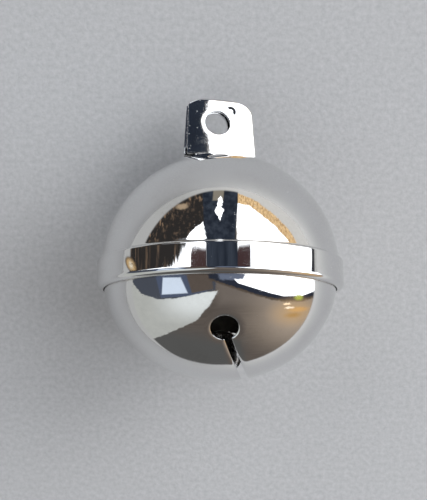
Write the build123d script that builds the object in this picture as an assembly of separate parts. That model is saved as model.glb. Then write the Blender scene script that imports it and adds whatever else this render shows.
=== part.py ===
"""A round sleigh bell (crotal bell): two drawn sheet-metal shells crimped together at a collar,
a folded strap through the crown to hang it by, and a loose steel pellet that rattles inside.

Everything is drawn about the bell's own axis, with height 0 at the bowl's widest plane, and moved
at the end so that the origin is the centre of the strap's hole. +Z runs up through the strap, and
the hole's axis is Y.
"""
import math
import os

from build123d import *

# ---- sizes, in millimetres and degrees ----

# shells
collar_diameter = 50.0     # outside of the collar, the bell's greatest width
sheet = 0.8                # thickness of both shells
collar_top = 3.4           # top edge of the collar, above the bowl's widest plane
collar_bottom = -1.3       # where the collar starts to turn in under the bowl's rim
dome_centre = 1.8          # height of the centre of the upper shell's dome
bowl_depth = 20.4          # outside depth of the bowl below its widest plane
bowl_step = 0.6            # how far the bowl sits in from its own rim
lip_inside = 0.25          # inside radius of the crimped lip
collar_round = 0.4         # rounding of the collar's top edge
crease_round = 0.25        # rounding of the crease between the collar and the dome
shell_gap = 0.03           # gap between surfaces that are pressed together

# sound openings in the bowl: four round holes joined by two crossing slots
hole_diameter = 5.2
hole_circle = 19.3         # distance of each hole from the middle of the pattern, seen from below
slot_width = 1.3
slot_bow = 3.3             # how far the longer slot bends sideways at its middle
pattern_offset = 1.6       # the pattern sits this far off the bell's axis
pattern_turn = -18.4       # turn of the pattern about the bell's axis

# hanging strap: one strip folded over at the top, its two ends pushed through the crown
strap_sheet = 0.8
strap_rise = 13.0          # top of the fold above the crown
strap_base_width = 14.6
strap_shoulder_width = 13.7
strap_base_depth = 3.8     # over both leaves, where they reach the crown
fold_gap = 0.3             # between the leaves at the fold
shoulder_gap = 0.25        # under the strap's shoulders, above the crown
strap_hole_diameter = 5.4
strap_hole_drop = 5.65     # centre of the hole below the top of the fold
strap_hole_offset = 0.8    # the hole is punched this far to the left of the bell's axis
tab_width = 11.2           # the part of each leaf that goes through the crown
tab_gap = 0.1              # between the tabs and the slit they pass through
foot_length = 5.0          # the end of each leaf, clenched outwards against the dome's inside

# pellet
pellet_diameter = 9.0
pellet_gap = 0.3           # from the pellet at rest to the bottom of the bowl

# ---- sizes that follow ----

collar_radius = collar_diameter / 2
collar_inside = collar_radius - sheet
dome_radius = math.hypot(collar_inside, collar_top - dome_centre)
dome_inside = dome_radius - sheet
crown = dome_centre + dome_radius
ledge_underside = collar_top - sheet

lip_radius = sheet + lip_inside
lip_bottom = collar_bottom - lip_radius
lip_top = lip_bottom + sheet

rim_radius = collar_inside - shell_gap
rim_inside = rim_radius - sheet
rim_top = ledge_underside - shell_gap
rim_bottom = lip_top + shell_gap
rim_round = lip_inside + shell_gap
bowl_radius = collar_inside - bowl_step
bowl_inside_radius = bowl_radius - sheet
bowl_inside_depth = bowl_depth - sheet

strap_top = crown + strap_rise
strap_shoulder = crown + shoulder_gap
strap_hole_height = strap_top - strap_hole_drop
fold_outside = strap_sheet + fold_gap / 2
reach = 2 * (collar_diameter + bowl_depth + strap_rise)   # longer than the whole bell


def band(r_low, r_high, z_low, z_high):
    """Rectangle between two radii and two heights, on the section plane."""
    return Pos((r_low + r_high) / 2, (z_low + z_high) / 2) * Rectangle(r_high - r_low, z_high - z_low)


def round_corners(section, points, radius):
    """Round the corners of a section that lie at the given places."""
    corners = [v for v in section.vertices()
               for r, z in points if math.hypot(v.X - r, v.Y - z) < sheet / 20]
    return fillet(corners, radius)


def spin_section(section):
    """Turn a section about the bell's axis."""
    return revolve(Plane.XZ * section, Axis.Z)


def bowl_height(radius):
    """Height of the bowl's outside at a distance from the axis."""
    return -bowl_depth * math.sqrt(1 - (radius / bowl_radius) ** 2)


def make_upper_shell():
    """Dome, ledge and collar, with the lip crimped in under the lower shell's rim."""
    ring = Pos(0, dome_centre) * (Circle(dome_radius) - Circle(dome_inside))
    dome = ring & band(0, dome_radius, ledge_underside, crown + sheet)
    ledge_start = math.sqrt(dome_inside ** 2 - (ledge_underside - dome_centre) ** 2)
    ledge = band(ledge_start, collar_radius, ledge_underside, collar_top)
    collar = band(collar_inside, collar_radius, collar_bottom, collar_top)
    lip_centre = collar_radius - lip_radius
    curl = Pos(lip_centre, collar_bottom) * (Circle(lip_radius) - Circle(lip_inside))
    curl = curl & band(lip_centre, collar_radius, lip_bottom, collar_bottom)
    tip = band(bowl_radius + shell_gap, lip_centre, lip_bottom, lip_top)
    section = dome + ledge + collar + curl + tip
    section = round_corners(section, [(collar_radius, collar_top)], collar_round)
    section = round_corners(section, [(collar_inside, collar_top)], crease_round)
    slit = Pos(0, 0, crown) * Box(tab_width + 2 * tab_gap, strap_base_depth + 2 * tab_gap, dome_radius)
    return spin_section(section) - slit


def slot_cutter(bow):
    """Upright band from hole to hole, bent sideways by bow at its middle."""
    ends = [(0, -hole_circle), (0, hole_circle)]
    if bow:
        path = ThreePointArc(ends[0], (bow, 0), ends[1])
    else:
        path = Line(*ends)
    track = trace(path, line_width=slot_width)
    return Pos(0, 0, -reach) * extrude(track, amount=reach)


def make_lower_shell():
    """Bowl with its rim, four sound holes and the two slots that join them."""
    outside = Ellipse(bowl_radius, bowl_depth)
    inside = Ellipse(bowl_inside_radius, bowl_inside_depth)
    bowl = (outside - inside) & band(0, bowl_radius, -bowl_depth, rim_bottom)
    shoulder_start = bowl_inside_radius * math.sqrt(1 - (rim_bottom / bowl_inside_depth) ** 2)
    shoulder = band(shoulder_start, rim_radius, rim_bottom, rim_bottom + sheet)
    rim = band(rim_inside, rim_radius, rim_bottom, rim_top)
    section = bowl + shoulder + rim
    section = round_corners(section, [(rim_radius, rim_bottom)], rim_round)
    shell = spin_section(section)

    slots = slot_cutter(slot_bow) + Rot(0, 0, 90) * slot_cutter(0)
    place = Rot(0, 0, pattern_turn) * Pos(pattern_offset, 0, 0)
    holes = []
    nearest = reach
    for turn in range(4):
        middle = (place * Rot(0, 0, 90 * turn) * Pos(0, -hole_circle, 0)).position
        away = math.hypot(middle.X, middle.Y)
        height = bowl_height(away)
        nearest = min(nearest, -height)
        out = Vector(middle.X / bowl_radius ** 2, middle.Y / bowl_radius ** 2, height / bowl_depth ** 2)
        at = Plane(origin=(middle.X, middle.Y, height), z_dir=out)
        holes.append(at * Cylinder(hole_diameter / 2, 6 * sheet))
    under_holes = Pos(0, 0, -nearest - bowl_depth / 2) * Box(reach, reach, bowl_depth)
    shell -= (place * slots) & under_holes
    for hole in holes:
        shell -= hole
    return shell


def make_strap():
    """Folded strap: two leaves, the hole through both, and the clenched feet inside the dome."""
    fold_height = strap_top - fold_outside
    foot_top = dome_centre + dome_inside - shell_gap
    half_base = strap_base_depth / 2

    def leaf_side(y_fold, y_base):
        return [(-y_fold, fold_height), (-y_base, strap_shoulder), (-y_base, dome_centre),
                (y_base, dome_centre), (y_base, strap_shoulder), (y_fold, fold_height)]

    outer = make_face(Polyline(*leaf_side(fold_outside, half_base), close=True))
    inner = make_face(Polyline(*leaf_side(fold_gap / 2, half_base - strap_sheet), close=True))
    outer += Pos(0, fold_height) * Circle(fold_outside)
    inner += Pos(0, fold_height) * Circle(fold_gap / 2)
    leaves = extrude(Plane.YZ * (outer - inner), amount=strap_base_width, both=True)

    half_low = strap_base_width / 2
    half_high = strap_shoulder_width / 2
    outline = Polyline(
        (-half_low, strap_shoulder), (half_low, strap_shoulder),
        (half_high, strap_top - 2.5), (half_high - 1.4, strap_top - 1.1),
        (half_high - 5.5, strap_top), (-half_high + 3.7, strap_top),
        (-half_high, strap_top - 1.5), close=True)
    front = make_face(outline)
    corners = front.vertices().filter_by(lambda v: v.Y > strap_shoulder + strap_rise / 2)
    front = fillet(corners, 0.9)
    above = extrude(Plane.XZ * front, amount=strap_base_depth, both=True)
    tab = Pos(0, 0, (strap_shoulder + dome_centre) / 2) * Box(
        tab_width, strap_base_depth, strap_shoulder - dome_centre)
    inside_dome = Pos(0, 0, dome_centre) * (
        Sphere(foot_top - dome_centre) - Sphere(foot_top - dome_centre - strap_sheet))
    below_foot = Pos(0, 0, dome_centre) * Sphere(foot_top - dome_centre - strap_sheet)
    foot_reach = half_base + foot_length
    feet = Pos(0, 0, crown) * Box(tab_width, 2 * foot_reach, dome_radius)
    between = Pos(0, 0, crown) * Box(tab_width, strap_base_depth - 2 * strap_sheet, dome_radius)
    feet = (feet - between) & inside_dome
    strap = (leaves & above) + ((leaves & tab) - below_foot) + feet

    hole = Pos(-strap_hole_offset, 0, strap_hole_height) * Rot(90, 0, 0) * Cylinder(
        strap_hole_diameter / 2, 2 * strap_base_depth)
    return strap - hole


def make_pellet():
    """Loose steel ball, hanging just clear of the bottom of the bowl."""
    radius = pellet_diameter / 2
    return Pos(0, 0, -bowl_inside_depth + pellet_gap + radius) * Sphere(radius)


def main():
    to_frame = Pos(strap_hole_offset, 0, -strap_hole_height)
    nodes = {
        "upper_shell": make_upper_shell(),
        "lower_shell": make_lower_shell(),
        "hanging_strap": make_strap(),
        "pellet": make_pellet(),
    }
    os.makedirs("parts", exist_ok=True)
    for name, shape in nodes.items():
        export_step(to_frame * shape, f"parts/{name}.step")


main()
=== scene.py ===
"""Looks of a round sleigh bell: two nickel-plated shells crimped together at a collar, a folded strap
through the crown and a loose steel pellet.

Pieces are drawn in millimetres about the bell's own axis, with height 0 at the bowl's widest plane,
and put into the frame's place and metres when each is finished.
"""
import math

import bmesh
import bpy
from mathutils import Matrix, Vector


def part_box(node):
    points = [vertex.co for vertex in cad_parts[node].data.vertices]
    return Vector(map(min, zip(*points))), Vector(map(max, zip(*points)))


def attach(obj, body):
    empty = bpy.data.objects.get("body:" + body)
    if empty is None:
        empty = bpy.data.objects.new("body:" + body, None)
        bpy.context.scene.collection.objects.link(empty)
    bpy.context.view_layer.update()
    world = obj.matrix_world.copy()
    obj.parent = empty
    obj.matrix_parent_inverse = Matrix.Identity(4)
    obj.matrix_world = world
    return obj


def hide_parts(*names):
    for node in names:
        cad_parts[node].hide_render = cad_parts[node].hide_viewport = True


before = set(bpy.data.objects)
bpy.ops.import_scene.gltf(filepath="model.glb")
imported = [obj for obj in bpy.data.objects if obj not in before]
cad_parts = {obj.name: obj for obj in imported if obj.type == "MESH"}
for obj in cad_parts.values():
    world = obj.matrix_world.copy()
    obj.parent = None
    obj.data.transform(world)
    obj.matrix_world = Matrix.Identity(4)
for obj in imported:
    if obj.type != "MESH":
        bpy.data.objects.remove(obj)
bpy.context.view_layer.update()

MM = 0.001

# ---- sizes from the frame, in millimetres ----

shell_low, shell_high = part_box("upper_shell")
pellet_low, pellet_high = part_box("pellet")
strap_low, strap_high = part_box("hanging_strap")

lip_bottom = -2.35                    # underside of the crimped lip below the bowl's widest plane
collar_radius = (shell_high.x - shell_low.x) / 2 / MM
bell_origin = Vector(((shell_low.x + shell_high.x) / 2, 0, shell_low.z - lip_bottom * MM))
strap_top = (strap_high.z - bell_origin.z) / MM
pellet_radius = (pellet_high.x - pellet_low.x) / 2 / MM
pellet_height = ((pellet_low.z + pellet_high.z) / 2 - bell_origin.z) / MM
strap_hole = (-bell_origin.x / MM, -bell_origin.z / MM)   # the frame's origin is the hole's centre

# ---- sizes of the shells ----

sheet = 0.8
collar_top = 3.4
collar_bottom = -1.3
collar_round = 0.4
crease_round = 0.25
dome_centre = 1.8
dome_radius = math.hypot(collar_radius - sheet, collar_top - dome_centre)
crown = dome_centre + dome_radius
lip_radius = collar_bottom - lip_bottom
lip_tip = 23.63                       # radius that the crimped lip reaches in to

bowl_radius = 23.6
bowl_depth = 20.4
rim_radius = 24.17
rim_bottom = lip_bottom + sheet + 0.03
rim_top = collar_top - sheet - 0.03

slit_half_length = 5.7
slit_half_width = 2.0

# ---- sound openings in the bowl ----

hole_radius = 2.6
hole_circle = 19.3
slot_half_width = 0.65
slot_bow = 3.3
punch_roll = 0.24                     # how far the edges of the openings are rolled in
punch_reach = 0.34                    # and over what distance
pattern_offset = 1.6
pattern_turn = math.radians(-18.4)

# ---- sizes of the strap ----

tab_half_width = 5.6
base_half_width = 7.3
fold_radius = 0.95
base_half_depth = 1.9
shoulder = crown + 0.25
strap_hole_radius = 2.7
foot_reach = 6.9
bend_start = -1.2                     # left of here the strap is bent back a little
bend_slope = 0.165
bend_soft = 0.9
strap_mark = (2.2, 0, strap_top - 2.8)   # a small nick in the front leaf: a dent, painted near black as a dark reflection

# ---- the camera and the floor, in degrees and millimetres ----

view_azimuth = -16.0
view_elevation = -8.63
view_distance = 160.0
view_roll = -0.12
aim_left = 0.477                      # the bell sits this far right of the frame's middle
aim_up = 2.22                         # and this far below it
view_lens = 56.23
floor_elevation = -24.0               # direction that the floor faces
floor_half_size = 300.0


def direction(azimuth, elevation):
    """Unit vector towards an azimuth and elevation in degrees. Azimuth 0 is -Y."""
    a = math.radians(azimuth)
    e = math.radians(elevation)
    return Vector((math.sin(a) * math.cos(e), -math.cos(a) * math.cos(e), math.sin(e)))


# ---------------------------------------------------------------------------
# Node helpers
# ---------------------------------------------------------------------------

def feed(tree, socket, value):
    """Set a socket from another socket or from a plain value."""
    if isinstance(value, bpy.types.NodeSocket):
        tree.links.new(value, socket)
    else:
        socket.default_value = value


def calc(tree, operation, *values, clamp=False):
    step = tree.nodes.new("ShaderNodeMath")
    step.operation = operation
    step.use_clamp = clamp
    for socket, value in zip(step.inputs, values):
        feed(tree, socket, value)
    return step.outputs[0]


def vector_calc(tree, operation, a, b, result="Vector"):
    step = tree.nodes.new("ShaderNodeVectorMath")
    step.operation = operation
    feed(tree, step.inputs[0], a)
    feed(tree, step.inputs[1], b)
    return step.outputs[result]


def blend_colour(tree, factor, a, b):
    step = tree.nodes.new("ShaderNodeMix")
    step.data_type = "RGBA"
    feed(tree, step.inputs[0], factor)
    feed(tree, step.inputs[6], a)
    feed(tree, step.inputs[7], b)
    return step.outputs[2]


def rise(tree, value, low, high):
    """0 below low, 1 above high, with a smooth step between. High may be the smaller one."""
    step = tree.nodes.new("ShaderNodeMapRange")
    step.interpolation_type = "SMOOTHSTEP"
    feed(tree, step.inputs["Value"], value)
    step.inputs["From Min"].default_value = min(low, high)
    step.inputs["From Max"].default_value = max(low, high)
    if low > high:
        step.inputs["To Min"].default_value = 1
        step.inputs["To Max"].default_value = 0
    return step.outputs["Result"]


def noise(tree, vector, scale, detail=2.0, roughness=0.5):
    step = tree.nodes.new("ShaderNodeTexNoise")
    feed(tree, step.inputs["Vector"], vector)
    step.inputs["Scale"].default_value = scale
    step.inputs["Detail"].default_value = detail
    step.inputs["Roughness"].default_value = roughness
    return step.outputs["Fac"]


def turned(tree, vector, scale, rotation=(0, 0, 0), location=(0, 0, 0)):
    step = tree.nodes.new("ShaderNodeMapping")
    feed(tree, step.inputs["Vector"], vector)
    step.inputs["Scale"].default_value = scale
    step.inputs["Rotation"].default_value = rotation
    step.inputs["Location"].default_value = location
    return step.outputs["Vector"]


# ---------------------------------------------------------------------------
# Shared effects
# ---------------------------------------------------------------------------

def new_group(name, inputs, outputs):
    tree = bpy.data.node_groups.new(name, "ShaderNodeTree")
    for socket, kind in inputs:
        tree.interface.new_socket(socket, in_out="INPUT", socket_type=kind)
    for socket, kind in outputs:
        tree.interface.new_socket(socket, in_out="OUTPUT", socket_type=kind)
    return tree, tree.nodes.new("NodeGroupInput").outputs, tree.nodes.new("NodeGroupOutput").inputs


def make_scratches():
    """Hairline scratches in two crossing directions, broken into short runs."""
    tree, given, out = new_group(
        "hairline_scratches", [("Vector", "NodeSocketVector"), ("Width", "NodeSocketFloat")],
        [("Mask", "NodeSocketFloat")])
    lines = []
    for turn, stretch in (((0.3, 0.5, 0.2), (90, 900, 1300)), ((1.1, -0.4, 1.9), (1100, 120, 1500))):
        field = noise(tree, turned(tree, given["Vector"], stretch, turn), 1.0, 1.0)
        off = calc(tree, "ABSOLUTE", calc(tree, "SUBTRACT", field, 0.5))
        lines.append(calc(tree, "SUBTRACT", 1, calc(tree, "DIVIDE", off, given["Width"]), clamp=True))
    both = calc(tree, "MAXIMUM", *lines)
    patches = rise(tree, noise(tree, given["Vector"], 260, 2), 0.5, 0.66)
    feed(tree, out["Mask"], calc(tree, "MULTIPLY", both, patches))
    return tree


def make_haze():
    """Breath-like haze and finger marks: wide soft patches with a finer mottle in them."""
    tree, given, out = new_group("haze", [("Vector", "NodeSocketVector")], [("Mask", "NodeSocketFloat")])
    wide = rise(tree, noise(tree, given["Vector"], 110, 2), 0.42, 0.68)
    fine = rise(tree, noise(tree, given["Vector"], 1500, 3, 0.6), 0.3, 0.7)
    feed(tree, out["Mask"], calc(tree, "MULTIPLY", wide, calc(tree, "MULTIPLY_ADD", fine, 0.6, 0.4)))
    return tree


def make_specks():
    """Small pits and dust, thinly scattered."""
    tree, given, out = new_group(
        "specks", [("Vector", "NodeSocketVector"), ("Share", "NodeSocketFloat")],
        [("Mask", "NodeSocketFloat")])
    cells = tree.nodes.new("ShaderNodeTexVoronoi")
    cells.inputs["Scale"].default_value = 1300
    feed(tree, cells.inputs["Vector"], given["Vector"])
    dot = rise(tree, cells.outputs["Distance"], 0.16, 0.06)
    pick = tree.nodes.new("ShaderNodeSeparateColor")
    feed(tree, pick.inputs[0], cells.outputs["Color"])
    chosen = calc(tree, "LESS_THAN", pick.outputs[0], given["Share"])
    feed(tree, out["Mask"], calc(tree, "MULTIPLY", dot, chosen))
    return tree


def make_orange_peel():
    """Slow ripple of a drawn and plated sheet, as a height."""
    tree, given, out = new_group(
        "orange_peel", [("Vector", "NodeSocketVector")], [("Height", "NodeSocketFloat")])
    slow = noise(tree, given["Vector"], 320, 1)
    fine = noise(tree, given["Vector"], 2600, 2)
    feed(tree, out["Height"], calc(tree, "MULTIPLY_ADD", fine, 0.12, slow))
    return tree


def make_painted_seam_shade():
    """Painted shade close to a seam at a given height, fading over a reach and broken up by noise. Both are
    in metres.
    """
    tree, given, out = new_group(
        "painted_seam_shade",
        [("Vector", "NodeSocketVector"), ("Height", "NodeSocketFloat"), ("Reach", "NodeSocketFloat")],
        [("Mask", "NodeSocketFloat")])
    parts = tree.nodes.new("ShaderNodeSeparateXYZ")
    feed(tree, parts.inputs[0], given["Vector"])
    away = calc(tree, "ABSOLUTE", calc(tree, "SUBTRACT", parts.outputs["Z"], given["Height"]))
    near = calc(tree, "SUBTRACT", 1, calc(tree, "DIVIDE", away, given["Reach"]), clamp=True)
    broken = rise(tree, noise(tree, given["Vector"], 700, 3, 0.6), 0.25, 0.75)
    feed(tree, out["Mask"], calc(tree, "MULTIPLY", near, calc(tree, "MULTIPLY_ADD", broken, 0.7, 0.3)))
    return tree


def make_dent_and_painted_dark():
    """One small hooked nick: part of a thin ring about a point, seen from the front. The material makes it a
    dent and paints it near black as a dark reflection.
    """
    tree, given, out = new_group(
        "dent_and_painted_dark",
        [("Vector", "NodeSocketVector"), ("Middle", "NodeSocketVector"), ("Radius", "NodeSocketFloat")],
        [("Mask", "NodeSocketFloat")])
    off = vector_calc(tree, "SUBTRACT", given["Vector"], given["Middle"])
    parts = tree.nodes.new("ShaderNodeSeparateXYZ")
    feed(tree, parts.inputs[0], off)
    across, height = parts.outputs["X"], parts.outputs["Z"]
    squares = calc(tree, "MULTIPLY_ADD", across, across, calc(tree, "MULTIPLY", height, height))
    away = calc(tree, "SQRT", squares)
    ring = calc(tree, "ABSOLUTE", calc(tree, "SUBTRACT", calc(tree, "DIVIDE", away, given["Radius"]), 1))
    line = rise(tree, ring, 0.6, 0.25)
    upper_right = calc(tree, "MULTIPLY", rise(tree, calc(tree, "ADD", across, height), -0.0001, 0.0002),
                       rise(tree, parts.outputs["Y"], 0.0002, -0.0002))
    feed(tree, out["Mask"], calc(tree, "MULTIPLY", line, upper_right))
    return tree


effects = {
    "dent_and_painted_dark": make_dent_and_painted_dark(),
    "scratches": make_scratches(),
    "haze": make_haze(),
    "specks": make_specks(),
    "peel": make_orange_peel(),
    "seam_shade": make_painted_seam_shade(),
}


def place_effect(tree, name, **values):
    """Put a shared effect into a material and return its outputs."""
    step = tree.nodes.new("ShaderNodeGroup")
    step.node_tree = effects[name]
    for socket, value in values.items():
        feed(tree, step.inputs[socket], value)
    return step.outputs


# ---------------------------------------------------------------------------
# Materials
# ---------------------------------------------------------------------------

def new_material(name):
    """A material with its Principled shader, and its object coordinates measured from the bell's axis."""
    material = bpy.data.materials.new(name)
    material.use_nodes = True
    tree = material.node_tree
    coordinates = tree.nodes.new("ShaderNodeTexCoord").outputs["Object"]
    place = turned(tree, coordinates, (1, 1, 1), location=-bell_origin)
    return material, tree, tree.nodes["Principled BSDF"], place


def add_bump(tree, shader, height, depth):
    """Depth is in millimetres for a height from 0 to 1."""
    bump = tree.nodes.new("ShaderNodeBump")
    bump.inputs["Strength"].default_value = 1.0
    bump.inputs["Distance"].default_value = depth * MM
    feed(tree, bump.inputs["Height"], height)
    feed(tree, shader.inputs["Normal"], bump.outputs["Normal"])


def polished_nickel(name, seam, seam_reach, haze=1.0, peel=0.0012, tint=(0.76, 0.76, 0.755, 1),
                    grain=0, mark=None):
    """Bright nickel plate over polished sheet, with haze, hairlines, pits and painted shade along a seam.
    Grain is fine roughness of the surface beside its peel. A mark is the place, in millimetres, of a small
    curved nick: its dent is a bump, and its near-black colour is a painted dark reflection."""
    material, tree, shader, place = new_material(name)
    shader.inputs["Metallic"].default_value = 1.0
    fog = place_effect(tree, "haze", Vector=place)["Mask"]
    lines = place_effect(tree, "scratches", Vector=place, Width=0.012)["Mask"]
    pits = place_effect(tree, "specks", Vector=place, Share=0.05)["Mask"]
    seam_shade_mask = place_effect(tree, "seam_shade", Vector=place, Height=seam * MM, Reach=seam_reach * MM)["Mask"]
    dull = calc(tree, "MULTIPLY", fog, 0.35 * haze)
    colour = blend_colour(tree, dull, tint, (0.60, 0.59, 0.57, 1))
    # painted shade: the colour is darkened and browned close to the seam
    colour = blend_colour(tree, calc(tree, "MULTIPLY", seam_shade_mask, 0.6), colour, (0.34, 0.30, 0.25, 1))
    colour = blend_colour(tree, calc(tree, "MULTIPLY", pits, 0.5), colour, (0.30, 0.28, 0.26, 1))
    dent_and_painted_dark = 0.0
    if mark:
        dent_and_painted_dark = place_effect(tree, "dent_and_painted_dark", Vector=place, Middle=Vector(mark) * MM, Radius=0.8 * MM)["Mask"]
        # painted dark reflection: the nick is coloured near black
        colour = blend_colour(tree, dent_and_painted_dark, colour, (0.012, 0.012, 0.014, 1))
    feed(tree, shader.inputs["Base Color"], colour)
    rough = calc(tree, "MULTIPLY_ADD", fog, 0.035 * haze, 0.018)
    rough = calc(tree, "MULTIPLY_ADD", dent_and_painted_dark, 0.3, rough)
    rough = calc(tree, "MULTIPLY_ADD", lines, 0.10, rough)
    rough = calc(tree, "MULTIPLY_ADD", pits, 0.3, rough)
    rough = calc(tree, "MULTIPLY_ADD", seam_shade_mask, 0.2, rough)
    ripple = place_effect(tree, "peel", Vector=place)["Height"]
    ripple = calc(tree, "MULTIPLY_ADD", lines, -0.15, ripple)
    if grain:
        stars = place_effect(tree, "specks", Vector=place, Share=0.6)["Mask"]
        rough = calc(tree, "MULTIPLY_ADD", stars, 0.45, rough)
        ripple = calc(tree, "MULTIPLY_ADD", noise(tree, place, 1900, 3, 0.7), grain, ripple)
    feed(tree, shader.inputs["Roughness"], rough)
    ripple = calc(tree, "MULTIPLY_ADD", pits, -0.6, ripple)
    ripple = calc(tree, "MULTIPLY_ADD", dent_and_painted_dark, -3.0, ripple)
    add_bump(tree, shader, ripple, peel)
    return material


def unpolished_inside():
    """Inside of the shells: dull, blotchy plate with drawing marks and soot-like shadow."""
    material, tree, shader, place = new_material("shell_inside")
    shader.inputs["Metallic"].default_value = 1.0
    fog = place_effect(tree, "haze", Vector=place)["Mask"]
    blotch = rise(tree, noise(tree, place, 420, 4, 0.6), 0.35, 0.7)
    colour = blend_colour(tree, blotch, (0.30, 0.29, 0.275, 1), (0.48, 0.46, 0.43, 1))
    colour = blend_colour(tree, calc(tree, "MULTIPLY", fog, 0.5), colour, (0.14, 0.12, 0.10, 1))
    feed(tree, shader.inputs["Base Color"], colour)
    feed(tree, shader.inputs["Roughness"], calc(tree, "MULTIPLY_ADD", blotch, 0.2, 0.38))
    drawn = noise(tree, turned(tree, place, (2400, 2400, 140)), 1.0, 3)
    add_bump(tree, shader, drawn, 0.01)
    return material


def tumbled_steel():
    """Tumbled steel ball: satin grey with small dings and a trace of rust in them."""
    material, tree, shader, place = new_material("tumbled_steel")
    shader.inputs["Metallic"].default_value = 1.0
    mottle = rise(tree, noise(tree, place, 650, 4, 0.6), 0.35, 0.7)
    dings = place_effect(tree, "specks", Vector=place, Share=0.30)["Mask"]
    lines = place_effect(tree, "scratches", Vector=place, Width=0.03)["Mask"]
    colour = blend_colour(tree, mottle, (0.58, 0.58, 0.585, 1), (0.72, 0.72, 0.725, 1))
    colour = blend_colour(tree, calc(tree, "MULTIPLY", dings, 0.7), colour, (0.20, 0.13, 0.08, 1))
    feed(tree, shader.inputs["Base Color"], colour)
    feed(tree, shader.inputs["Roughness"], calc(tree, "MULTIPLY_ADD", mottle, 0.14, 0.22))
    height = calc(tree, "MULTIPLY_ADD", dings, -1.0, calc(tree, "MULTIPLY", mottle, 0.2))
    height = calc(tree, "MULTIPLY_ADD", lines, -0.3, height)
    add_bump(tree, shader, height, 0.012)
    return material


# painted seam shade: the dome's at the collar's top, the bowl's under the lip, the strap's at its shoulder
dome_nickel = polished_nickel("dome_nickel", seam=collar_top, seam_reach=0.25)
bowl_nickel = polished_nickel("bowl_nickel", seam=lip_bottom, seam_reach=0.35)
strap_nickel = polished_nickel("strap_nickel", seam=shoulder, seam_reach=0.5, haze=1.8, peel=0.006,
                               tint=(0.78, 0.785, 0.79, 1), grain=1.3, mark=strap_mark)
inside_nickel = unpolished_inside()
pellet_steel = tumbled_steel()


# ---------------------------------------------------------------------------
# Mesh helpers
# ---------------------------------------------------------------------------

def arc(centre_r, centre_z, radius, start, end, steps):
    """Points of an arc on a section, from start to end in degrees."""
    points = []
    for i in range(steps + 1):
        angle = math.radians(start + (end - start) * i / steps)
        points.append((centre_r + radius * math.cos(angle), centre_z + radius * math.sin(angle)))
    return points


def finish_piece(bm, name, node, body, materials, thickness=0, bevel=0):
    """Turn a drawn mesh into a piece of the bell, in the frame's place and metres."""
    bmesh.ops.transform(bm, matrix=Matrix.Translation(bell_origin) @ Matrix.Scale(MM, 4), verts=bm.verts)
    mesh = bpy.data.meshes.new(name)
    bm.to_mesh(mesh)
    bm.free()
    for polygon in mesh.polygons:
        polygon.use_smooth = True
    for material in materials:
        mesh.materials.append(material)
    piece = bpy.data.objects.new(name, mesh)
    bpy.context.scene.collection.objects.link(piece)
    if thickness:
        wall = piece.modifiers.new("sheet", "SOLIDIFY")
        wall.thickness = thickness * MM
        wall.offset = -1
        wall.use_even_offset = True
        wall.material_offset = len(materials) - 1
    if bevel:
        edge = piece.modifiers.new("broken_edges", "BEVEL")
        edge.width = bevel * MM
        edge.segments = 2
        edge.limit_method = "ANGLE"
        edge.angle_limit = math.radians(50)
        edge.harden_normals = False
    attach(piece, body)
    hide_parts(node)
    return piece


def cut_opening(bm, away, settle, cell):
    """Cut openings into a fine surface. away(point) gives the distance outside the nearest edge of an
    opening and the direction away from it; settle(point) puts a point back on the surface. Cells close
    to an edge are halved, vertices close to it slide onto it, cells that straddle it are split, and
    what is inside goes. The edge's vertices are then spread evenly."""
    def slide(vert):
        for _ in range(3):
            gap, outward = away(vert.co)
            vert.co = settle(vert.co - outward * gap)

    band = {v for v in bm.verts if abs(away(v.co)[0]) < 2.2 * cell}
    bmesh.ops.subdivide_edges(bm, edges=[e for e in bm.edges if band.issuperset(e.verts)],
                              cuts=1, use_grid_fill=True)
    gaps = {v: away(v.co)[0] for v in bm.verts}
    near = [v for v in bm.verts if abs(gaps[v]) < 2.5 * cell]
    for vert in near:
        vert.co = settle(vert.co)
    edge_verts = {v for v in near
                  if abs(gaps[v]) < min(0.52 * max(e.calc_length() for e in v.link_edges), 0.4 * cell)}
    for vert in edge_verts:
        slide(vert)
    inside = {v for v in bm.verts if v not in edge_verts and gaps[v] < 0}
    for face in list({f for v in inside for f in v.link_faces}):
        ring = list(face.verts)
        if len(ring) != 4:
            continue
        for i in range(4):
            here, opposite = ring[i], ring[(i + 2) % 4]
            sides = (ring[(i + 1) % 4], ring[(i + 3) % 4])
            if here in inside and opposite not in inside and all(v in edge_verts for v in sides):
                bmesh.utils.face_split(face, *sides)
                break
    bmesh.ops.delete(bm, geom=list({f for v in inside for f in v.link_faces}), context="FACES")
    slivers = [f for f in bm.faces if edge_verts.issuperset(f.verts)
               and away(f.calc_center_median())[0] < -0.02 * cell]
    bmesh.ops.delete(bm, geom=slivers, context="FACES")
    bmesh.ops.delete(bm, geom=[v for v in bm.verts if not v.link_faces], context="VERTS")

    rim = {v for v in edge_verts if v.is_valid and v.is_boundary}
    close = [v for v in bm.verts if v not in rim and not v.is_boundary and away(v.co)[0] < 2.5 * cell]
    for _ in range(12):
        moves = {}
        for vert in rim:
            beside = [e.other_vert(vert) for e in vert.link_edges if e.is_boundary]
            if len(beside) != 2:
                continue
            one, other = beside[0].co - vert.co, beside[1].co - vert.co
            if one.length > 1e-6 and other.length > 1e-6 and one.angle(other) > math.radians(130):
                moves[vert] = vert.co + (one + other) * 0.25
        for vert, place in moves.items():
            vert.co = place
            slide(vert)
        bmesh.ops.smooth_vert(bm, verts=close, factor=0.5, use_axis_x=True, use_axis_y=True, use_axis_z=True)
        for vert in close:
            vert.co = settle(vert.co)
    return rim, close


# ---------------------------------------------------------------------------
# Upper shell
# ---------------------------------------------------------------------------

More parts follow.
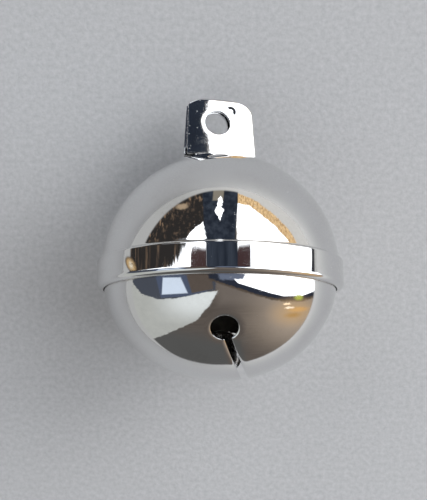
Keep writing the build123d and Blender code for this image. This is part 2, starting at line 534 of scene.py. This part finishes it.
def upper_section():
    """Section of the dome, ledge, collar and crimped lip: down the outside and back up the inside."""
    start_r = 1.0
    fillet_z = collar_top + crease_round
    fillet_r = math.sqrt((dome_radius + crease_round) ** 2 - (fillet_z - dome_centre) ** 2)
    meet = math.degrees(math.atan2(fillet_z - dome_centre, fillet_r))
    top = 90 - math.degrees(math.asin(start_r / dome_radius))
    lip_centre = collar_radius - lip_radius

    outside = arc(0, dome_centre, dome_radius, top, meet + 0.3, 84)
    outside += arc(fillet_r, fillet_z, crease_round, 180 + meet, 270, 6)
    outside += arc(collar_radius - collar_round, collar_top - collar_round, collar_round, 90, 0, 8)
    straight = collar_top - collar_round - collar_bottom
    outside += [(collar_radius, collar_bottom + straight * share) for share in (0.97, 0.75, 0.5, 0.25, 0.03)]
    outside += arc(lip_centre, collar_bottom, lip_radius, 0, -90, 14)
    outside += [((lip_centre + lip_tip) / 2, lip_bottom), (lip_tip, lip_bottom)]

    inner_radius = dome_radius - sheet
    under = collar_top - sheet
    low = math.degrees(math.asin((under - dome_centre) / inner_radius))
    inside = [(lip_tip, lip_bottom + sheet)]
    inside += arc(lip_centre, collar_bottom, lip_radius - sheet, -90, 0, 4)
    inside += [(collar_radius - sheet, (collar_bottom + under) / 2), (collar_radius - sheet, under)]
    inside += arc(0, dome_centre, inner_radius, low, 90 - math.degrees(math.asin(start_r / inner_radius)), 48)
    return outside + inside


def make_upper_shell():
    bm = bmesh.new()
    rail = [bm.verts.new((r, 0, z)) for r, z in upper_section()]
    edges = [bm.edges.new(pair) for pair in zip(rail, rail[1:])]
    bmesh.ops.spin(bm, geom=rail + edges, cent=(0, 0, 0), axis=(0, 0, 1), dvec=(0, 0, 0),
                   angle=math.tau, steps=288, use_merge=True, use_duplicate=False)
    bmesh.ops.remove_doubles(bm, verts=bm.verts, dist=1e-4)

    # the slit through the crown
    margin = 0.5
    for x, y in ((slit_half_length, 0), (-slit_half_length, 0), (0, slit_half_width), (0, -slit_half_width)):
        crown_faces = [f for f in bm.faces
                       if f.calc_center_median().z > dome_centre
                       and abs(f.calc_center_median().x) < slit_half_length + margin
                       and abs(f.calc_center_median().y) < slit_half_width + margin]
        around = {v for f in crown_faces for v in f.verts} | {e for f in crown_faces for e in f.edges}
        bmesh.ops.bisect_plane(bm, geom=list(around) + crown_faces, dist=1e-5,
                               plane_co=(x, y, 0), plane_no=(x, y, 0))
    gone = [f for f in bm.faces
            if f.calc_center_median().z > dome_centre
            and abs(f.calc_center_median().x) < slit_half_length
            and abs(f.calc_center_median().y) < slit_half_width]
    bmesh.ops.delete(bm, geom=gone, context="FACES")
    bmesh.ops.bridge_loops(bm, edges=[e for e in bm.edges if e.is_boundary])
    bmesh.ops.recalc_face_normals(bm, faces=bm.faces)
    for face in bm.faces:
        middle = face.calc_center_median()
        from_dome = (middle - Vector((0, 0, dome_centre))).length
        flat = math.hypot(middle.x, middle.y)
        if middle.z > collar_top - sheet - 0.01:
            hidden = from_dome < dome_radius - 0.5 * sheet
        else:
            hidden = flat < collar_radius - 0.9 * sheet and middle.z > lip_bottom + 0.9 * sheet
        face.material_index = 1 if hidden else 0
    return finish_piece(bm, "nickel_upper_shell", "upper_shell", "bell",
                        [dome_nickel, inside_nickel], bevel=0.06)


# ---------------------------------------------------------------------------
# Lower shell
# ---------------------------------------------------------------------------

def make_lower_shell():
    edge_angle = math.acos(-rim_bottom / bowl_depth)      # from the bottom of the bowl to its shoulder
    bend_radius = (hole_circle ** 2 + slot_bow ** 2) / (2 * slot_bow)
    bend_centre = pattern_offset + slot_bow - bend_radius
    stretch = Vector((bowl_radius, bowl_radius, bowl_depth))

    def settle(point):
        """Back onto the bowl's outside."""
        unit = Vector((point.x / stretch.x, point.y / stretch.y, point.z / stretch.z)).normalized()
        return Vector((unit.x * stretch.x, unit.y * stretch.y, unit.z * stretch.z))

    holes = []
    for turn in range(4):
        angle = turn * math.pi / 2
        middle = Vector((pattern_offset + hole_circle * math.sin(angle), -hole_circle * math.cos(angle), 0))
        middle.z = -bowl_depth * math.sqrt(1 - (middle.length / bowl_radius) ** 2)
        out = Vector((middle.x / stretch.x ** 2, middle.y / stretch.y ** 2, middle.z / stretch.z ** 2))
        holes.append((middle, out.normalized()))

    def away(point):
        """Distance to the nearest edge of a hole or slot, less than 0 inside one."""
        options = []
        for middle, out in holes:
            across = point - middle
            across -= across.dot(out) * out
            options.append((across.length - hole_radius, across))
        if pattern_offset - hole_circle < point.x < pattern_offset + hole_circle:
            options.append((abs(point.y) - slot_half_width, Vector((0, point.y, 0))))
        if abs(point.y) < hole_circle:
            bend = Vector((point.x - bend_centre, point.y, 0))
            side = bend.length - bend_radius
            options.append((abs(side) - slot_half_width, bend * side))
        gap, outward = min(options, key=lambda option: option[0])
        if outward.length < 1e-9:
            outward = Vector((1, 0, 0))
        return gap, outward.normalized()

    cells = 176
    bm = bmesh.new()
    bmesh.ops.create_grid(bm, x_segments=cells, y_segments=cells, size=1)
    for vert in bm.verts:
        x, y = vert.co.x, vert.co.y
        disc = Vector((x * math.sqrt(1 - y * y / 2), y * math.sqrt(1 - x * x / 2)))
        share = min(disc.length, 1)
        angle = share * edge_angle
        flat = disc.normalized() * math.sin(angle) * bowl_radius if share else disc
        vert.co = (flat.x, flat.y, -math.cos(angle) * bowl_depth)
    bmesh.ops.recalc_face_normals(bm, faces=bm.faces)
    if sum(f.normal.z for f in bm.faces) > 0:
        bmesh.ops.reverse_faces(bm, faces=bm.faces)
    rim = [e for e in bm.edges if e.is_boundary]
    opening_rim, beside = cut_opening(bm, away, settle, 2 * edge_angle * bowl_radius / cells)

    # the punch rolled the edges of the openings inwards
    for vert in list(opening_rim) + beside:
        roll_in = punch_roll * math.exp(-max(away(vert.co)[0], 0) / punch_reach)
        out = Vector((vert.co.x / stretch.x ** 2, vert.co.y / stretch.y ** 2, vert.co.z / stretch.z ** 2))
        vert.co -= out.normalized() * roll_in

    for radius, height in ((rim_radius, rim_bottom), (rim_radius, rim_top)):
        grown = bmesh.ops.extrude_edge_only(bm, edges=rim)["geom"]
        rim = [g for g in grown if isinstance(g, bmesh.types.BMEdge)]
        for vert in [g for g in grown if isinstance(g, bmesh.types.BMVert)]:
            flat = Vector((vert.co.x, vert.co.y)).normalized() * radius
            vert.co = (flat.x, flat.y, height)
    bmesh.ops.rotate(bm, cent=(0, 0, 0), matrix=Matrix.Rotation(pattern_turn, 3, "Z"), verts=bm.verts)
    return finish_piece(bm, "nickel_lower_shell", "lower_shell", "bell",
                        [bowl_nickel, inside_nickel], thickness=sheet, bevel=0.08)


# ---------------------------------------------------------------------------
# Hanging strap
# ---------------------------------------------------------------------------

def soft_least(values, softness=0.25):
    """Least of several values, with the corners between them rounded."""
    return -softness * math.log(sum(math.exp(-v / softness) for v in values))


def strap_side(height, side):
    """Half width of the strap at a height, on the right (1) or the left (-1)."""
    up = height - shoulder
    if side > 0:
        lines = [base_half_width - 0.044 * up, 6.85 - (height - (strap_top - 2.5)),
                 5.45 - 3.73 * (height - (strap_top - 1.1))]
    else:
        lines = [base_half_width - 0.040 * up, 6.85 - 2.47 * (height - (strap_top - 1.5))]
    return soft_least(lines)


def make_strap():
    fold_height = strap_top - fold_radius
    lean = math.degrees(math.atan2(base_half_depth - fold_radius, fold_height - shoulder))
    turn_in = arc(0, fold_height, fold_radius, 180 + lean, -lean, 24)
    rows = 34
    front = []
    for i in range(rows):
        share = i / rows
        front.append((-base_half_depth + share * (turn_in[0][0] + base_half_depth),
                      shoulder + share * (turn_in[0][1] - shoulder)))
    path = front + turn_in + [(-y, z) for y, z in reversed(front)]

    inner = [tab_half_width * i / 16 for i in range(17)]
    outer = [tab_half_width + (base_half_width - tab_half_width) * i / 5 for i in range(1, 6)]
    shares = [x / base_half_width for x in inner + outer]
    shares = [-s for s in reversed(shares[1:])] + shares

    bm = bmesh.new()
    bmesh.ops.create_grid(bm, x_segments=len(shares) - 1, y_segments=len(path) - 1, size=1)
    across = len(shares)
    verts = sorted(bm.verts, key=lambda v: (round(v.co.y, 5), round(v.co.x, 5)))
    for i, vert in enumerate(verts):
        share = shares[i % across]
        y, z = path[i // across]
        half = strap_side(z, 1 if share > 0 else -1)
        vert.co = (share * half, y, z)

    def leaf_depth(height):
        share = (height - shoulder) / (fold_height - shoulder)
        return base_half_depth + share * (fold_radius - base_half_depth)

    def settle(point):
        if point.z > fold_height:
            return point
        return Vector((point.x, math.copysign(leaf_depth(point.z), point.y), point.z))

    def away(point):
        flat = Vector((point.x - strap_hole[0], 0, point.z - strap_hole[1]))
        return flat.length - strap_hole_radius, flat.normalized() if flat.length else Vector((1, 0, 0))

    cut_opening(bm, away, settle, 0.36)

    # the tabs go down through the crown and their ends are clenched outwards; their top rows are picked
    # after the hole is cut, because cutting it renews the mesh's vertices
    low_rows = {-1: [], 1: []}
    near = 0.001
    for vert in [v for v in bm.verts if v.is_boundary]:
        if abs(vert.co.z - shoulder) < near and abs(vert.co.x) < tab_half_width + near:
            low_rows[1 if vert.co.y > 0 else -1].append(vert)
    foot_radius = dome_radius - sheet - 0.03
    for side, row in low_rows.items():
        row_set = set(row)
        edges = [e for e in bm.edges if e.is_boundary and set(e.verts) <= row_set]
        if not edges:
            raise ValueError("the row that the strap's tabs grow from wasn't found")
        stations = [("leg", s) for s in (0.25, 0.6, 1.0)]
        stations += [("foot", s / 12) for s in range(1, 13)]
        for kind, share in stations:
            grown = bmesh.ops.extrude_edge_only(bm, edges=edges)["geom"]
            edges = [g for g in grown if isinstance(g, bmesh.types.BMEdge)]
            for vert in [g for g in grown if isinstance(g, bmesh.types.BMVert)]:
                x = vert.co.x
                depth = base_half_depth
                if kind == "foot":
                    depth += (foot_reach - base_half_depth) * share
                on_dome = dome_centre + math.sqrt(foot_radius ** 2 - x * x - depth * depth)
                height = on_dome
                if kind == "leg":
                    height = shoulder + (on_dome - shoulder) * share
                vert.co = (x, side * depth, height)

    # the left of the strip is bent back a little, and it is dished where the hole was punched
    for vert in bm.verts:
        x, y, z = vert.co
        held = min(max((z - crown) / 2.5, 0), 1)
        if y < 0:
            held = min(max((z - crown) / sheet + 1, 0), 1)
        bow = 0.003 * x * x
        if x < bend_start:
            bow = bend_slope * (bend_start - x - bend_soft * (1 - math.exp((x - bend_start) / bend_soft)))
        round_hole = math.hypot(x - strap_hole[0], z - strap_hole[1]) - strap_hole_radius
        dish = 0.08 * math.exp(-max(round_hole, 0) / 0.45) if z < fold_height else 0
        vert.co.y = y + bow * (0.1 + 0.9 * held)
        if y < 0 and z > shoulder:
            vert.co.y += dish

    bmesh.ops.recalc_face_normals(bm, faces=bm.faces)
    front_faces = [f for f in bm.faces if f.calc_center_median().y < -fold_radius
                   and f.calc_center_median().z > shoulder]
    if sum(f.normal.y for f in front_faces) > 0:
        bmesh.ops.reverse_faces(bm, faces=bm.faces)
    return finish_piece(bm, "nickel_hanging_strap", "hanging_strap", "bell",
                        [strap_nickel], thickness=sheet, bevel=0.1)


# ---------------------------------------------------------------------------
# Pellet
# ---------------------------------------------------------------------------

def make_pellet():
    bm = bmesh.new()
    bmesh.ops.create_uvsphere(bm, u_segments=96, v_segments=64, radius=pellet_radius,
                              matrix=Matrix.Translation((0, 0, pellet_height)))
    return finish_piece(bm, "steel_pellet", "pellet", "pellet", [pellet_steel])


upper_shell = make_upper_shell()
lower_shell = make_lower_shell()
strap = make_strap()
pellet = make_pellet()


# ---------------------------------------------------------------------------
# Camera
# ---------------------------------------------------------------------------

toward_camera = direction(view_azimuth, view_elevation)
level_right = Vector((0, 0, 1)).cross(toward_camera).normalized()
level_up = toward_camera.cross(level_right)
roll = math.radians(view_roll)
right = level_right * math.cos(roll) + level_up * math.sin(roll)
up = level_up * math.cos(roll) - level_right * math.sin(roll)


def make_camera():
    back = (toward_camera + right * math.tan(math.radians(aim_left))
            - up * math.tan(math.radians(aim_up))).normalized()
    across = up.cross(back).normalized()
    upward = back.cross(across)
    data = bpy.data.cameras.new("view")
    data.lens = view_lens
    data.sensor_width = 36
    data.clip_start = 0.005
    camera = bpy.data.objects.new("view", data)
    turn = Matrix((across, upward, back)).transposed().to_4x4()
    camera.matrix_world = Matrix.Translation(bell_origin + toward_camera * view_distance * MM) @ turn
    bpy.context.scene.collection.objects.link(camera)
    bpy.context.scene.camera = camera


make_camera()


# ---------------------------------------------------------------------------
# Floor
# ---------------------------------------------------------------------------

def make_floor():
    """Pale floor that the bell's back lies on, with painted light: lighter far off to the right, darker to
    the left and close behind the bell. It has no underside, so the bell is seen from there.
    """
    facing = direction(view_azimuth, floor_elevation)
    rest = dome_radius + dome_centre * -facing.z + 0.02
    bm = bmesh.new()
    bmesh.ops.create_grid(bm, x_segments=1, y_segments=1, size=floor_half_size * MM)
    mesh = bpy.data.meshes.new("floor")
    bm.to_mesh(mesh)
    bm.free()
    floor = bpy.data.objects.new("floor", mesh)
    bpy.context.scene.collection.objects.link(floor)
    across = Vector((0, 0, 1)).cross(facing).normalized()
    turn = Matrix((across, facing.cross(across), facing)).transposed().to_4x4()
    floor.matrix_world = Matrix.Translation(bell_origin - facing * rest * MM) @ turn

    material = bpy.data.materials.new("pale_floor")
    material.use_nodes = True
    tree = material.node_tree
    shader = tree.nodes["Principled BSDF"]
    shader.inputs["Roughness"].default_value = 0.9
    shader.inputs["Specular IOR Level"].default_value = 0.1
    place = tree.nodes.new("ShaderNodeTexCoord").outputs["Object"]
    grain = noise(tree, place, 900, 3, 0.6)
    tone = blend_colour(tree, grain, (0.33, 0.332, 0.338, 1), (0.52, 0.522, 0.528, 1))
    away = vector_calc(tree, "LENGTH", place, (0, 0, 0), "Value")
    parts = tree.nodes.new("ShaderNodeSeparateXYZ")
    feed(tree, parts.inputs[0], place)
    # painted light: far from the bell the floor is painted from darker on the left to lighter on the right,
    # where the key lamp stands; close behind the bell it keeps the plain grain tone, darker than the far
    # right, as painted shade
    to_right = rise(tree, parts.outputs["X"], -0.15, 0.15)
    lit = blend_colour(tree, to_right, (0.37, 0.37, 0.37, 1), (0.60, 0.595, 0.585, 1))
    tone = blend_colour(tree, rise(tree, away, 0.06, 0.21), tone, lit)
    feed(tree, shader.inputs["Base Color"], tone)
    add_bump(tree, shader, grain, 0.05)
    underside = tree.nodes.new("ShaderNodeNewGeometry").outputs["Backfacing"]
    edge = rise(tree, away, floor_half_size * 0.7 * MM, floor_half_size * 0.98 * MM)
    clear = tree.nodes.new("ShaderNodeBsdfTransparent")
    both = tree.nodes.new("ShaderNodeMixShader")
    feed(tree, both.inputs[0], calc(tree, "MAXIMUM", underside, edge))
    feed(tree, both.inputs[1], shader.outputs["BSDF"])
    feed(tree, both.inputs[2], clear.outputs["BSDF"])
    feed(tree, tree.nodes["Material Output"].inputs["Surface"], both.outputs[0])
    mesh.materials.append(material)


make_floor()


# ---------------------------------------------------------------------------
# Studio: soft cards of light and dark on its walls, which the polished shells mirror
# ---------------------------------------------------------------------------

WHITE = (3.0, 3.1, 3.25, 1)
FLOOR_LEFT = (0.52, 0.525, 0.525, 1)
FLOOR_RIGHT = (0.80, 0.79, 0.77, 1)
BACKDROP = (0.66, 0.66, 0.665, 1)


def make_studio():
    world = bpy.data.worlds.new("studio")
    world.use_nodes = True
    bpy.context.scene.world = world
    tree = world.node_tree
    ray = tree.nodes.new("ShaderNodeTexCoord").outputs["Generated"]

    # degrees right and up from the line between the bell and the camera
    ahead = vector_calc(tree, "DOT_PRODUCT", ray, toward_camera, "Value")
    to_right = vector_calc(tree, "DOT_PRODUCT", ray, right, "Value")
    to_top = vector_calc(tree, "DOT_PRODUCT", ray, up, "Value")
    turn = calc(tree, "MULTIPLY", calc(tree, "ARCCOSINE", ahead), 180 / math.pi)
    flat = calc(tree, "SQRT", calc(tree, "MULTIPLY_ADD", to_right, to_right,
                                   calc(tree, "MULTIPLY_ADD", to_top, to_top, 1e-8)))
    scale = calc(tree, "DIVIDE", turn, flat)
    chart = tree.nodes.new("ShaderNodeCombineXYZ")
    feed(tree, chart.inputs[0], calc(tree, "MULTIPLY", to_right, scale))
    feed(tree, chart.inputs[1], calc(tree, "MULTIPLY", to_top, scale))
    chart.inputs[2].default_value = 1
    smooth = chart.outputs[0]
    ragged = tree.nodes.new("ShaderNodeTexNoise")
    ragged.inputs["Scale"].default_value = 0.35
    ragged.inputs["Detail"].default_value = 4
    feed(tree, ragged.inputs["Vector"], smooth)
    wander = vector_calc(tree, "SUBTRACT", ragged.outputs["Color"], (0.5, 0.5, 0.5))
    wander = vector_calc(tree, "MULTIPLY", wander, (3.5, 3.5, 0))
    torn = vector_calc(tree, "ADD", smooth, wander)

    def card(under, corners, colour, soft=1.5, plane=smooth):
        """Lay a card with straight sides over what is under it. Corners go round clockwise."""
        least = None
        for (x0, y0), (x1, y1) in zip(corners, corners[1:] + corners[:1]):
            length = math.hypot(x1 - x0, y1 - y0)
            nx, ny = (y1 - y0) / length, -(x1 - x0) / length
            side = vector_calc(tree, "DOT_PRODUCT", plane, (nx, ny, -(nx * x0 + ny * y0)), "Value")
            least = side if least is None else calc(tree, "MINIMUM", least, side)
        return blend_colour(tree, rise(tree, least, -soft / 2, soft / 2), under, colour)

    def reach(middle, size, plane=smooth):
        """Distance from the middle of an oval, 1 at its edge."""
        off = vector_calc(tree, "SUBTRACT", plane, (middle[0], middle[1], 1))
        off = vector_calc(tree, "DIVIDE", off, (size[0], size[1], 1))
        return vector_calc(tree, "LENGTH", off, (0, 0, 0), "Value")

    def spot(under, middle, size, colour, soft=0.4, plane=smooth):
        """Lay an oval spot over what is under it."""
        away = reach(middle, size, plane)
        return blend_colour(tree, rise(tree, away, 1 + soft, 1 - soft), under, colour)

    # the walls end at an oval, past which the far floor is mirrored
    upper_end = ((1, -30), (88, 110))
    lower_end = ((6, -14), (98, 107))

    parts = tree.nodes.new("ShaderNodeSeparateXYZ")
    feed(tree, parts.inputs[0], smooth)
    far_floor = blend_colour(tree, rise(tree, parts.outputs["X"], -50, 50), FLOOR_LEFT, FLOOR_RIGHT)

    mottle = rise(tree, noise(tree, smooth, 0.16, 4, 0.6), 0.35, 0.68)
    column = blend_colour(tree, mottle, (0.020, 0.026, 0.040, 1), (0.050, 0.062, 0.086, 1))

    # above: a tall dark flag in the middle, a big window on the right, dark racks on the left
    flecks = rise(tree, noise(tree, smooth, 0.22, 5, 0.7), 0.52, 0.72)
    racks = blend_colour(tree, flecks, (0.034, 0.031, 0.030, 1), (0.20, 0.14, 0.10, 1))
    near_end = rise(tree, reach(*upper_end), 0.84, 0.97)
    drawn_out = turned(tree, smooth, (0.42, 0.10, 1), (0, 0, 0.5))
    streaks = rise(tree, noise(tree, drawn_out, 1.0, 4, 0.6), 0.53, 0.66)
    racks = blend_colour(tree, calc(tree, "MULTIPLY", near_end, streaks), racks, (0.34, 0.23, 0.15, 1))
    boards = rise(tree, noise(tree, turned(tree, smooth, (0.9, 0.25, 1)), 1.0, 3, 0.6), 0.4, 0.65)
    wood = blend_colour(tree, boards, (1.15, 0.81, 0.44, 1), (0.52, 0.32, 0.15, 1))
    upper = racks
    upper = card(upper, [(15, 20), (15, 90), (120, 90), (120, 20)], far_floor)
    upper = card(upper, [(16, 20), (16, 77), (34, 70), (52, 56), (66, 43), (78, 30), (80, 20)],
                 wood, 2, torn)
    upper = card(upper, [(16, 20), (16, 65), (28, 63), (40, 56), (52, 44), (66, 33), (74, 20)],
                 WHITE, 1.5, torn)
    upper = card(upper, [(-13, 20), (-15, 48), (-18, 90), (20, 90), (17, 62), (15, 20)], column)
    upper = card(upper, [(-7, 68), (-6, 90), (5, 90), (3, 68)], (0.30, 0.27, 0.22, 1))
    upper = card(upper, [(-58, 20), (-50, 26), (-34, 30), (-13, 31), (-13, 20)],
                 (0.50, 0.51, 0.54, 1), 3, torn)
    upper = card(upper, [(-44, 20), (-35, 30), (-25, 38), (-16.5, 49), (-13, 30), (-13, 20)],
                 WHITE, 1.2, torn)
    upper = card(upper, [(-2.2, 62), (-1.5, 70), (0.5, 73), (2.6, 69), (2, 62)], WHITE, 1.2, torn)
    upper = card(upper, [(-5, 57), (-1, 64), (3.4, 58), (0.2, 47)], WHITE, 1.2, torn)
    upper = spot(upper, (-37, 63), (6, 3), (0.50, 0.38, 0.26, 1), 0.4, torn)

    # level with the collar
    middle = card(racks, [(-77, 12), (-21, 21), (90, 21), (90, 12)], WHITE, 1.0, torn)
    middle = card(middle, [(-21, 20), (-21, 40), (90, 40), (90, 20)], WHITE)
    middle = card(middle, [(-26, 0), (-26, 18.9), (-24, 19.6), (-12, 19.6), (-8, 0)],
                  (0.075, 0.045, 0.045, 1), 0.6)
    middle = card(middle, [(14, 0), (14, 19.3), (17, 19.8), (27, 19.8), (28, 0)],
                  (0.07, 0.04, 0.042, 1), 0.6)
    middle = card(middle, [(-9, 0), (-13, 24), (16, 24), (14, 0)], column)
    middle = card(middle, [(90, 0), (90, 40), (94, 40), (94, 0)], (0.05, 0.05, 0.06, 1), 2.5, torn)
    middle = card(middle, [(94, 0), (94, 40), (120, 40), (120, 0)], (0.60, 0.60, 0.60, 1))

    # below: a pale sheet on the left, a dark bench, and the window's foot on the right
    brushed = noise(tree, turned(tree, smooth, (0.03, 0.6, 1), (0, 0, 0.5)), 1.0, 4, 0.6)
    bench = blend_colour(tree, brushed, (0.075, 0.064, 0.058, 1), (0.185, 0.155, 0.135, 1))
    stained = noise(tree, smooth, 0.12, 4, 0.6)
    pale_sheet = blend_colour(tree, stained, (0.46, 0.475, 0.46, 1), (0.60, 0.61, 0.58, 1))
    lit_across = rise(tree, parts.outputs["X"], -75, -22)
    sheet_lit = calc(tree, "MULTIPLY", lit_across, rise(tree, parts.outputs["Y"], -64, -30))
    pale_sheet = blend_colour(tree, sheet_lit, pale_sheet, (0.94, 0.99, 1.0, 1))
    lower = bench
    lower = card(lower, [(-120, -50), (20, -80), (20, -140), (-120, -140)], (0.11, 0.11, 0.108, 1), 30)
    lower = card(lower, [(-12, 0), (60, 0), (60, -34), (0, -34)], (0.20, 0.17, 0.15, 1), 16)
    lower = spot(lower, (78, -50), (40, 36), (0.50, 0.41, 0.33, 1), 0.9)
    lower = card(lower, [(-2, -18), (-10, -36), (-22, -54), (-54, -74), (-90, -92), (-120, -60),
                         (-120, -40)], pale_sheet, 1.5, torn)
    lower = card(lower, [(-120, 15), (-50, 15), (-50, -60), (-120, -60)], pale_sheet)
    lower = card(lower, [(-92, 15), (-4, 15), (-4, -17), (-40, -27), (-60, -29), (-80, -22), (-91, -8)],
                 (0.080, 0.090, 0.115, 1), 1.5, torn)
    lower = card(lower, [(-66, 15), (-12, 15), (-12, -19), (-32, -25), (-57, -27)], (0.095, 0.12, 0.19, 1))
    lower = card(lower, [(-55, -2), (-37, -2), (-30, -21), (-56, -23)], (0.82, 0.94, 1.12, 1))
    lower = card(lower, [(-35, 15), (-10, 15), (-6, -16), (-26, -21)], (0.13, 0.105, 0.09, 1))
    lower = card(lower, [(-12, 15), (110, 15), (104, -27), (84, -33), (62, -32), (48, -29), (30, -23),
                         (12, -15), (-10, -6)], (0.11, 0.085, 0.065, 1), 2.5, torn)
    lower = card(lower, [(-12, 15), (110, 15), (104, -24), (84, -30), (62, -29.5), (48, -26.5), (30, -21),
                         (12, -13), (-10, -4)], (0.030, 0.036, 0.055, 1), 1.2, torn)
    lower = card(lower, [(-3, 15), (110, 15), (104, -18), (84, -25), (62, -25), (48, -21), (31, -14.5),
                         (17, -9)], WHITE, 1.2)
    lower = card(lower, [(-6, 15), (30, 15), (21, -5), (0, -5)], (0.17, 0.20, 0.28, 1), 3, torn)
    lower = spot(lower, (76, -46), (20, 14), (0.66, 0.45, 0.25, 1), 0.9, torn)
    lower = spot(lower, (80, -43), (11, 3), (0.85, 0.50, 0.20, 1), 0.7, torn)
    lower = spot(lower, (74, -50), (8, 3), (0.60, 0.36, 0.14, 1), 0.8, torn)
    lower = spot(lower, (80, -27), (5, 3.5), (0.62, 0.66, 0.12, 1), 0.5, torn)
    lower = spot(lower, (66, -35), (4, 1.2), (1.6, 1.2, 0.8, 1), 0.5, torn)
    lower = spot(lower, (69, -40), (5, 1.2), (1.5, 1.2, 0.9, 1), 0.5, torn)

    height = parts.outputs["Y"]
    walls = blend_colour(tree, rise(tree, height, 9, 12), lower, middle)
    walls = blend_colour(tree, rise(tree, height, 22.5, 24), walls, upper)
    walls_end_above = spot(far_floor, *upper_end, walls, 0.012)
    walls_end_below = spot(far_floor, *lower_end, walls, 0.012)
    studio = blend_colour(tree, rise(tree, height, 22.5, 24), walls_end_below, walls_end_above)

    studio = spot(studio, (-87, 15.3), (7.6, 0.78), (0.09, 0.06, 0.04, 1), 0.2)
    studio = spot(studio, (-87, 15.3), (6.0, 0.60), (0.62, 0.43, 0.22, 1), 0.3)
    studio = spot(studio, (-87, 15.3), (2.6, 0.34), (0.90, 0.80, 0.62, 1), 0.5)

    seen = tree.nodes.new("ShaderNodeLightPath").outputs["Is Camera Ray"]
    shown = blend_colour(tree, seen, studio, BACKDROP)
    feed(tree, tree.nodes["Background"].inputs["Color"], shown)
    tree.nodes["Background"].inputs["Strength"].default_value = 1.0


make_studio()


def add_lamp(name, azimuth, elevation, distance, size, power):
    """Soft square lamp aimed at the bell. It lights the scene, and the walls' cards are what is mirrored."""
    data = bpy.data.lights.new(name, "AREA")
    data.shape = "SQUARE"
    data.size = size
    data.energy = power
    lamp = bpy.data.objects.new(name, data)
    away = direction(azimuth, elevation)
    lamp.location = bell_origin + away * distance
    lamp.rotation_euler = away.to_track_quat("Z", "Y").to_euler()
    lamp.visible_glossy = False
    bpy.context.scene.collection.objects.link(lamp)


add_lamp("key_lamp", view_azimuth + 52, 14, 0.8, 0.35, 2.6)
add_lamp("low_lamp", view_azimuth, -62, 0.6, 0.5, 0.9)

bpy.context.scene.view_settings.view_transform = "Standard"
